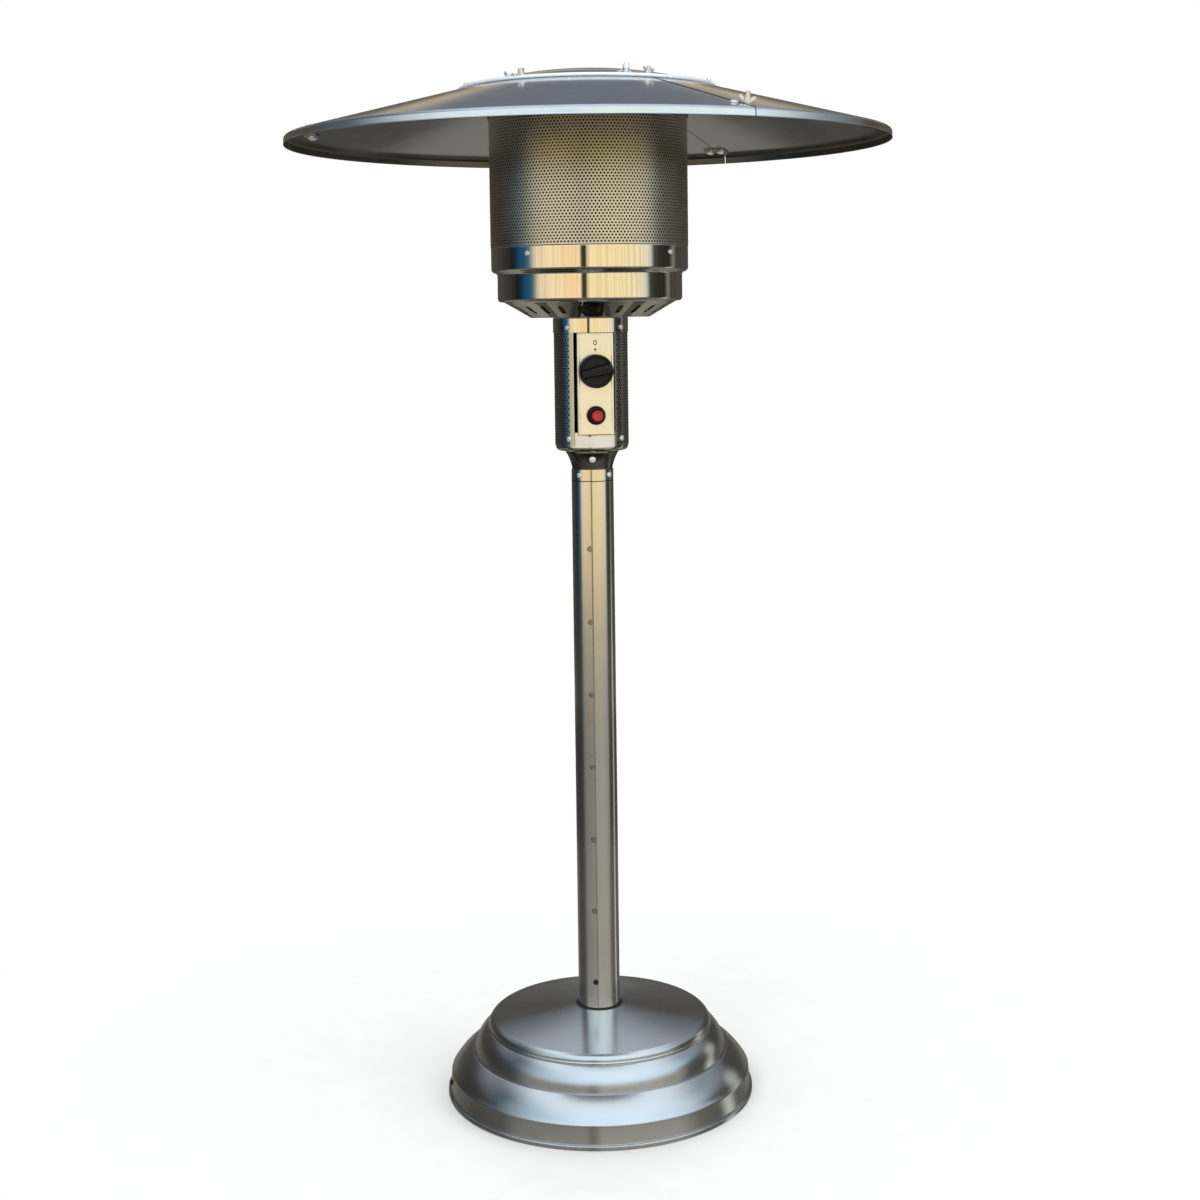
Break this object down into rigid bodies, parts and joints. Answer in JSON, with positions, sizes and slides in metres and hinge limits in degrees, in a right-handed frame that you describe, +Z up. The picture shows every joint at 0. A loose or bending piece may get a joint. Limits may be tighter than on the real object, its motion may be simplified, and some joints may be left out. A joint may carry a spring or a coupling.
{
  "type": "patio heater",
  "caption": "Free-standing outdoor gas heater: weighted stepped base, telescopic post, control housing with knob and igniter, perforated emitter and wide conical reflector.",
  "frame": {"origin": "on the floor, on the post's axis", "axes": "+Z up along the post, -Y towards the control panel's front, +X to the right of a person who faces the panel"},
  "size_m": [0.8092, 0.8091, 1.3974],
  "materials": {
    "brushed_stainless": "spun and brushed",
    "polished_stainless": "mirror polished",
    "perforated_stainless": "perforated sheet, heat resistant",
    "reflector_aluminium": "rolled, semi-bright",
    "plated_steel": "zinc plated",
    "nickel_hardware": "nickel plated",
    "black_steel": "black powder coat",
    "cast_iron": "rough cast",
    "black_rubber": "matt",
    "black_plastic": "fine texture",
    "red_plastic": "gloss",
    "brass": "machined",
    "copper": "drawn tube",
    "white_ceramic": "glazed",
    "red_silicone": "matt"
  },
  "bodies": {
    "base": {"foot_pads": "black_rubber", "base_plate": "black_steel", "ballast_weight": "cast_iron", "base_bolts": "plated_steel", "post_flange": "black_steel", "base_screws": "black_steel", "outer_post": "brushed_stainless", "base_cover": "brushed_stainless", "cover_lugs": "plated_steel", "post_grommet": "black_rubber", "guide_bush": "black_plastic", "gas_pipe": "copper", "inlet_nipple": "brass"},
    "mast": {"gas_hose": "black_rubber", "inner_tube": "brushed_stainless", "lock_nut": "plated_steel", "glide_ring": "black_plastic", "post_collar": "brushed_stainless", "collar_screws": "nickel_hardware", "neck": "brushed_stainless", "neck_screws": "nickel_hardware", "housing_cup": "brushed_stainless", "perforated_sleeve": "perforated_stainless", "housing_top_ring": "polished_stainless", "housing_screws": "nickel_hardware", "head_bolts": "plated_steel", "faceplate": "brushed_stainless", "name_plate": "polished_stainless", "panel_bracket": "plated_steel", "gas_valve": "brass", "igniter_body": "black_plastic", "igniter_wire": "red_silicone", "igniter_electrode": "white_ceramic", "tilt_switch": "black_plastic", "thermocouple": "copper", "pilot_tube": "plated_steel", "pilot_burner": "plated_steel", "main_jet": "brass", "venturi_tube": "plated_steel", "burner_pot": "plated_steel", "burner_gauze": "perforated_stainless", "burner_plate": "brushed_stainless", "head_bowl": "polished_stainless", "band_screws": "nickel_hardware", "emitter_screen": "perforated_stainless", "emitter_cap": "brushed_stainless", "reflector_studs": "nickel_hardware", "stud_spacers": "plated_steel", "reflector_disc": "reflector_aluminium", "reflector_segment_1": "reflector_aluminium", "reflector_segment_2": "reflector_aluminium", "reflector_segment_3": "reflector_aluminium", "reflector_bolts": "nickel_hardware", "seam_straps": "plated_steel", "wing_nuts": "nickel_hardware"},
    "lock_screw": {"lock_screw": "black_steel"},
    "knob_carrier": {"stem_washer": "plated_steel"},
    "knob": {"knob": "black_plastic", "valve_stem": "plated_steel"},
    "igniter_button": {"igniter_button": "red_plastic"}
  },
  "joints": [
    {"name": "mast_height", "type": "slide", "parent": "base", "child": "mast", "axis": [0, 0, 1], "range_m": [0, 0.6], "deforming": ["gas_hose"]},
    {"name": "lock_screw_draw", "type": "slide", "parent": "base", "child": "lock_screw", "axis": [-0.2924, -0.9563, 0], "range_m": [0, 0.002]},
    {"name": "knob_push", "type": "slide", "parent": "mast", "child": "knob_carrier", "axis": [0, 1, 0], "range_m": [0, 0.004], "stiffness_N_per_m": 600, "springref_m": -0.002},
    {"name": "knob_turn", "type": "hinge", "parent": "knob_carrier", "child": "knob", "pos_m": [0, -0.055, 0.99665], "axis": [0, -1, 0], "range_deg": [-102, 168]},
    {"name": "igniter_push", "type": "slide", "parent": "mast", "child": "igniter_button", "axis": [0, 1, 0], "range_m": [0, 0.006], "stiffness_N_per_m": 300, "springref_m": -0.003}
  ]
}
